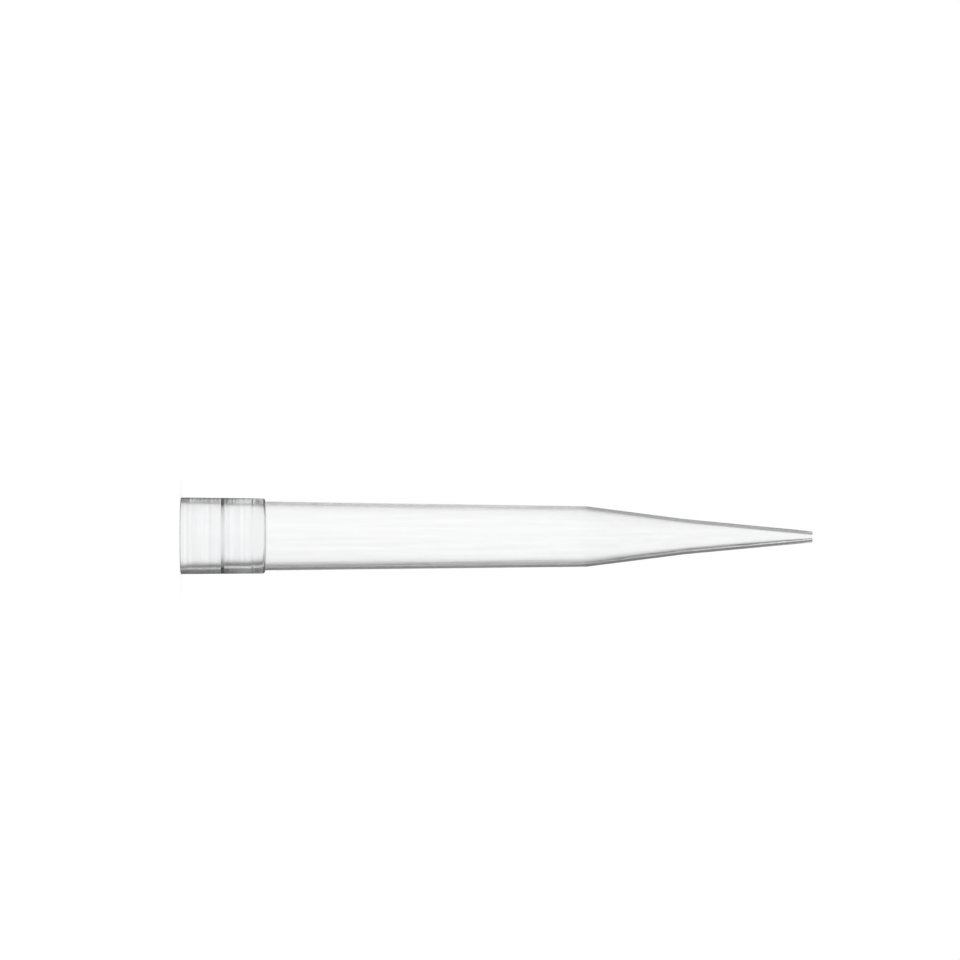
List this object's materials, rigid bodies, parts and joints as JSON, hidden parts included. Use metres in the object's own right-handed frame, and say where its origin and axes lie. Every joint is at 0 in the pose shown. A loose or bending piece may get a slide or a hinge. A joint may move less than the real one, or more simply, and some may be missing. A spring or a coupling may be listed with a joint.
{
  "type": "pipette tip",
  "caption": "Clear tapered pipette tip, moulded in one piece, with a thick collar that presses onto the pipette's nozzle and a fine orifice at the far end.",
  "frame": {"origin": "centre of the mouth's flat rim, which the tip stands on", "axes": "+Z runs along the tip's axis from the mouth to the orifice. The tip is a body of revolution, so +X and +Y are any two directions square to it."},
  "size_m": [0.0086, 0.0086, 0.0715],
  "materials": {
    "natural_polypropylene": "clear natural polypropylene with a moulded gloss"
  },
  "bodies": {
    "root": {"pipette_tip": "natural_polypropylene"}
  },
  "joints": []
}
